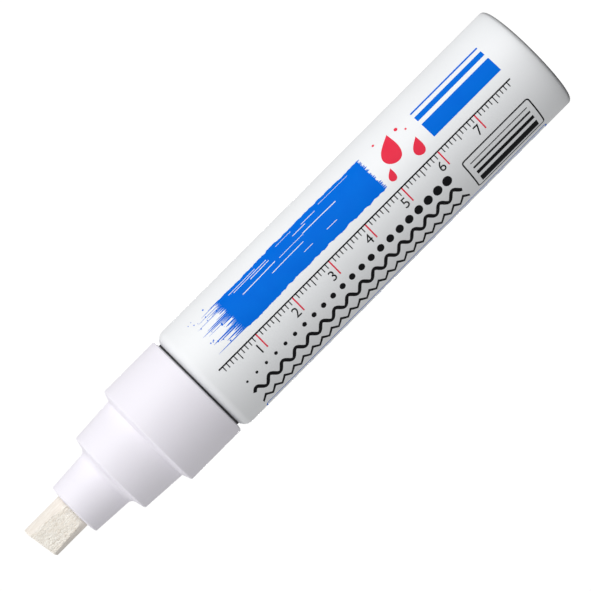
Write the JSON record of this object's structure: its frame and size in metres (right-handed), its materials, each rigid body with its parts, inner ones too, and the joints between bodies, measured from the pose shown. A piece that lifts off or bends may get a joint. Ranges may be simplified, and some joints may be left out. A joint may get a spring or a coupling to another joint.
{
  "type": "paint marker",
  "caption": "Pump-action paint marker: enamelled can, moulded tip holder and a broad chisel nib that is pressed in against a spring valve to let paint through.",
  "frame": {"origin": "centre of the flat rear end that the marker stands on", "axes": "+Z along the marker towards the nib, chisel flats facing -Y and +Y but for a turn of 10 degrees, long corner of the nib on +X"},
  "size_m": [0.025, 0.025, 0.1363],
  "materials": {
    "white_enamel": "satin",
    "black_rubber": "matte",
    "white_plastic": "satin",
    "nib_fibre": "matte",
    "valve_plastic": "satin",
    "seat_rubber": "matte",
    "spring_steel": "satin",
    "ball_steel": "polished"
  },
  "bodies": {
    "housing": {"barrel": "white_enamel", "mouth_gasket": "black_rubber", "tip_holder": "white_plastic", "valve_case": "valve_plastic", "valve_seat": "seat_rubber", "valve_spring": "spring_steel"},
    "plunger": {"nib": "nib_fibre", "valve_rod": "valve_plastic"},
    "ball_1": {"mixing_ball_1": "ball_steel"},
    "ball_2": {"mixing_ball_2": "ball_steel"}
  },
  "joints": [
    {"name": "nib_press", "type": "slide", "parent": "housing", "child": "plunger", "axis": [0, 0, 1], "range_m": [-0.003, 0], "stiffness_N_per_m": 1500, "springref_m": 0.002, "deforming": ["valve_spring"]},
    {"name": "ball_1_travel", "type": "slide", "parent": "housing", "child": "ball_1", "axis": [0, 0, 1], "range_m": [0, 0.0695]},
    {"name": "ball_2_travel", "type": "slide", "parent": "housing", "child": "ball_2", "axis": [0, 0, 1], "range_m": [0, 0.0695]}
  ]
}
